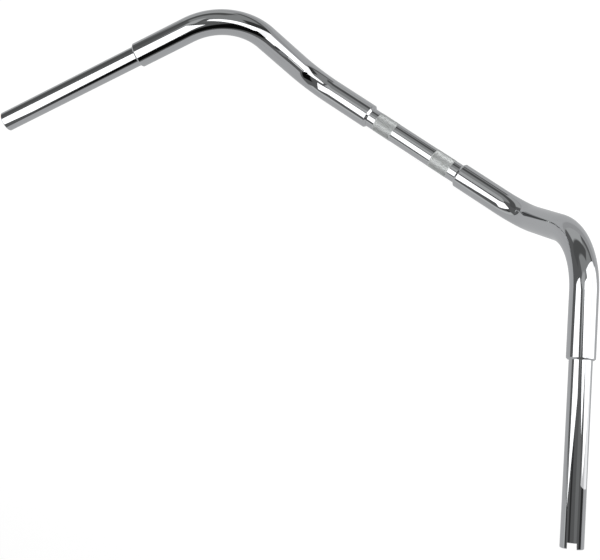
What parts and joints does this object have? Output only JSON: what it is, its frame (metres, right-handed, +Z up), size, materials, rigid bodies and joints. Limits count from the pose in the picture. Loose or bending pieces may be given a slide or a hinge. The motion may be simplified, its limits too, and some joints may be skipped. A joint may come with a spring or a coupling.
{
  "type": "motorcycle handlebar",
  "caption": "Stepped tubular motorcycle handlebar: knurled clamp tube, fatter bent risers and slimmer swept-back grip tubes, chrome plated.",
  "frame": {"origin": "middle of the clamp tube, on its axis, halfway between the two risers", "axes": "+X along the clamp tube to the rider's right, which is the notched throttle end; +Y forwards, so the grips point back to -Y; +Z up, the way the risers climb"},
  "size_m": [0.8936, 0.3064, 0.1592],
  "materials": {
    "clamp_chrome": "polished chrome plate with two satin knurled bands",
    "riser_chrome": "polished chrome plate",
    "grip_chrome": "polished chrome plate"
  },
  "bodies": {
    "root": {"clamp_tube": "clamp_chrome", "left_riser": "riser_chrome", "right_riser": "riser_chrome", "left_grip_tube": "grip_chrome", "right_grip_tube": "grip_chrome"}
  },
  "joints": []
}
